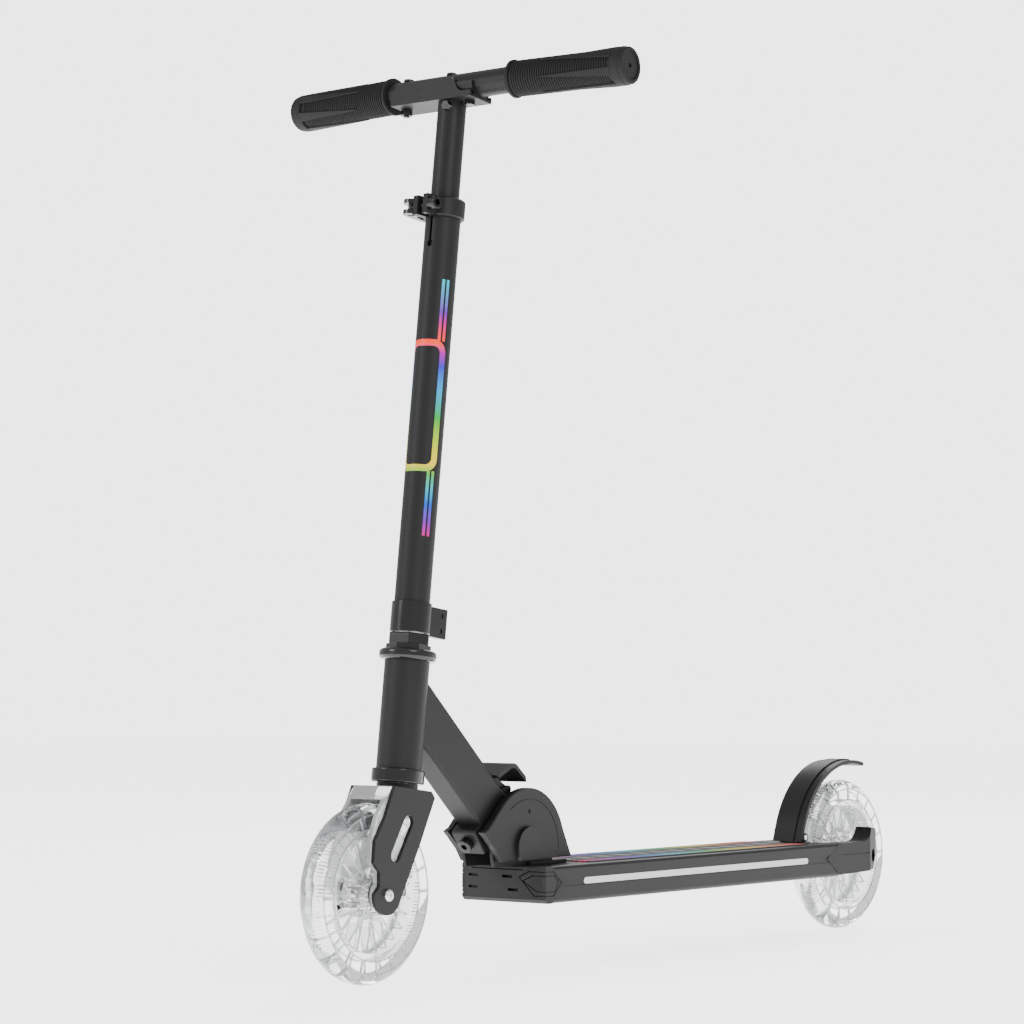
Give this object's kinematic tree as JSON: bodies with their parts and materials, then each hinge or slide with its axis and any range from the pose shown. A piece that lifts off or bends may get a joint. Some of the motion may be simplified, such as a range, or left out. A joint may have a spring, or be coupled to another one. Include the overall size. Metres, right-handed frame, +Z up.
{
  "type": "kick scooter",
  "caption": "Folding kick scooter with a flat deck, telescoping handlebar, quick-release column clamp, pedal-release hinge, rear fender brake and clear wheels",
  "frame": {"origin": "on the ground, midway between the axles, on the plane of symmetry", "axes": "+X forward, +Y the rider's left, +Z up"},
  "size_m": [0.855, 0.3574, 0.7559],
  "materials": {
    "coat_black": "matte powder coat",
    "coat_black_aluminium": "matte powder coat over aluminium",
    "gloss_black_metal": "gloss black",
    "dark_steel": "blackened",
    "bright_steel": "machined",
    "silver_strip": "satin",
    "cap_plastic": "fine grained",
    "grip_rubber": "matte",
    "clear_wheel": "clear, glossy"
  },
  "bodies": {
    "deck": {"deck_extrusion": "coat_black_aluminium", "deck_grip_mat": "grip_rubber", "side_strips": "silver_strip", "deck_front_cap": "cap_plastic", "rear_cap_left": "cap_plastic", "rear_cap_right": "cap_plastic", "rear_dropouts": "bright_steel", "rear_axle_bolt": "dark_steel", "deck_hex_nuts": "dark_steel", "rear_axle_spacers": "bright_steel", "hinge_bracket": "coat_black", "hinge_cover_left": "cap_plastic", "hinge_cover_right": "cap_plastic", "hinge_cover_screws": "dark_steel", "hinge_pivot_bolt": "bright_steel", "fender_lugs": "coat_black", "fender_pin": "bright_steel", "fender_spring": "bright_steel"},
    "neck": {"down_tube": "coat_black_aluminium", "head_tube": "coat_black_aluminium", "headset_cup_top": "gloss_black_metal", "headset_cup_bottom": "gloss_black_metal", "headset_bearings": "bright_steel", "lock_block": "coat_black", "lock_bolt": "dark_steel", "lever_pin": "dark_steel"},
    "release": {"release_lever": "cap_plastic"},
    "steering": {"fork": "coat_black", "fork_guard": "clear_wheel", "steerer_tube": "bright_steel", "headset_nuts": "gloss_black_metal", "band_clamp": "gloss_black_metal", "band_clamp_screws": "dark_steel", "column_tube": "coat_black_aluminium", "column_bush": "cap_plastic", "clamp_collar": "coat_black_aluminium", "clamp_bolt": "bright_steel", "clamp_barrel_nut": "dark_steel", "front_axle_bolt": "dark_steel", "front_axle_nut": "dark_steel", "front_axle_spacers": "bright_steel"},
    "clamp": {"clamp_lever": "gloss_black_metal"},
    "button": {"height_button": "cap_plastic"},
    "handlebar": {"riser_tube": "coat_black_aluminium", "crossbar": "coat_black_aluminium", "bar_saddle": "coat_black", "saddle_bolts": "dark_steel", "saddle_nuts": "dark_steel", "grip_left": "grip_rubber", "grip_right": "grip_rubber", "bar_end_caps": "grip_rubber"},
    "front_wheel": {"front_tyre": "clear_wheel", "front_core": "clear_wheel", "front_bearings": "bright_steel", "front_bearing_sleeve": "bright_steel"},
    "rear_wheel": {"rear_tyre": "clear_wheel", "rear_core": "clear_wheel", "rear_bearings": "bright_steel", "rear_bearing_sleeve": "bright_steel"},
    "brake": {"brake_fender": "coat_black"}
  },
  "joints": [
    {"name": "fold", "type": "hinge", "parent": "deck", "child": "neck", "pos_m": [0.17, 0, 0.102], "axis": [0, -1, 0], "range_deg": [0, 83]},
    {"name": "release_press", "type": "hinge", "parent": "neck", "child": "release", "pos_m": [0.18452, 0, 0.15122], "axis": [0, -1, 0], "range_deg": [0, 12], "stiffness_Nm_per_rad": 0.4, "springref_deg": -17.19},
    {"name": "steer", "type": "hinge", "parent": "neck", "child": "steering", "pos_m": [0.30871, 0, 0.21442], "axis": [-0.1227, 0, 0.9924], "range_deg": [-75, 75]},
    {"name": "height_slide", "type": "slide", "parent": "steering", "child": "handlebar", "axis": [-0.1227, 0, 0.9924], "range_m": [-0.06, 0.09]},
    {"name": "height_button_press", "type": "slide", "parent": "steering", "child": "button", "axis": [0.9924, 0, 0.1227], "range_m": [0, 0.001], "stiffness_N_per_m": 600, "springref_m": -0.001},
    {"name": "clamp_lever_swing", "type": "hinge", "parent": "steering", "child": "clamp", "pos_m": [0.27358, -0.02099, 0.637], "axis": [-0.1227, 0, 0.9924], "range_deg": [0, 110]},
    {"name": "front_wheel_spin", "type": "hinge", "parent": "steering", "child": "front_wheel", "pos_m": [0.355, 0, 0.0725], "axis": [0, 1, 0], "continuous": true},
    {"name": "rear_wheel_spin", "type": "hinge", "parent": "deck", "child": "rear_wheel", "pos_m": [-0.355, 0, 0.0725], "axis": [0, 1, 0], "continuous": true},
    {"name": "brake_press", "type": "hinge", "parent": "deck", "child": "brake", "pos_m": [-0.27299, 0, 0.0922], "axis": [0, -1, 0], "range_deg": [0, 8], "stiffness_Nm_per_rad": 1.5, "springref_deg": -8.59}
  ]
}
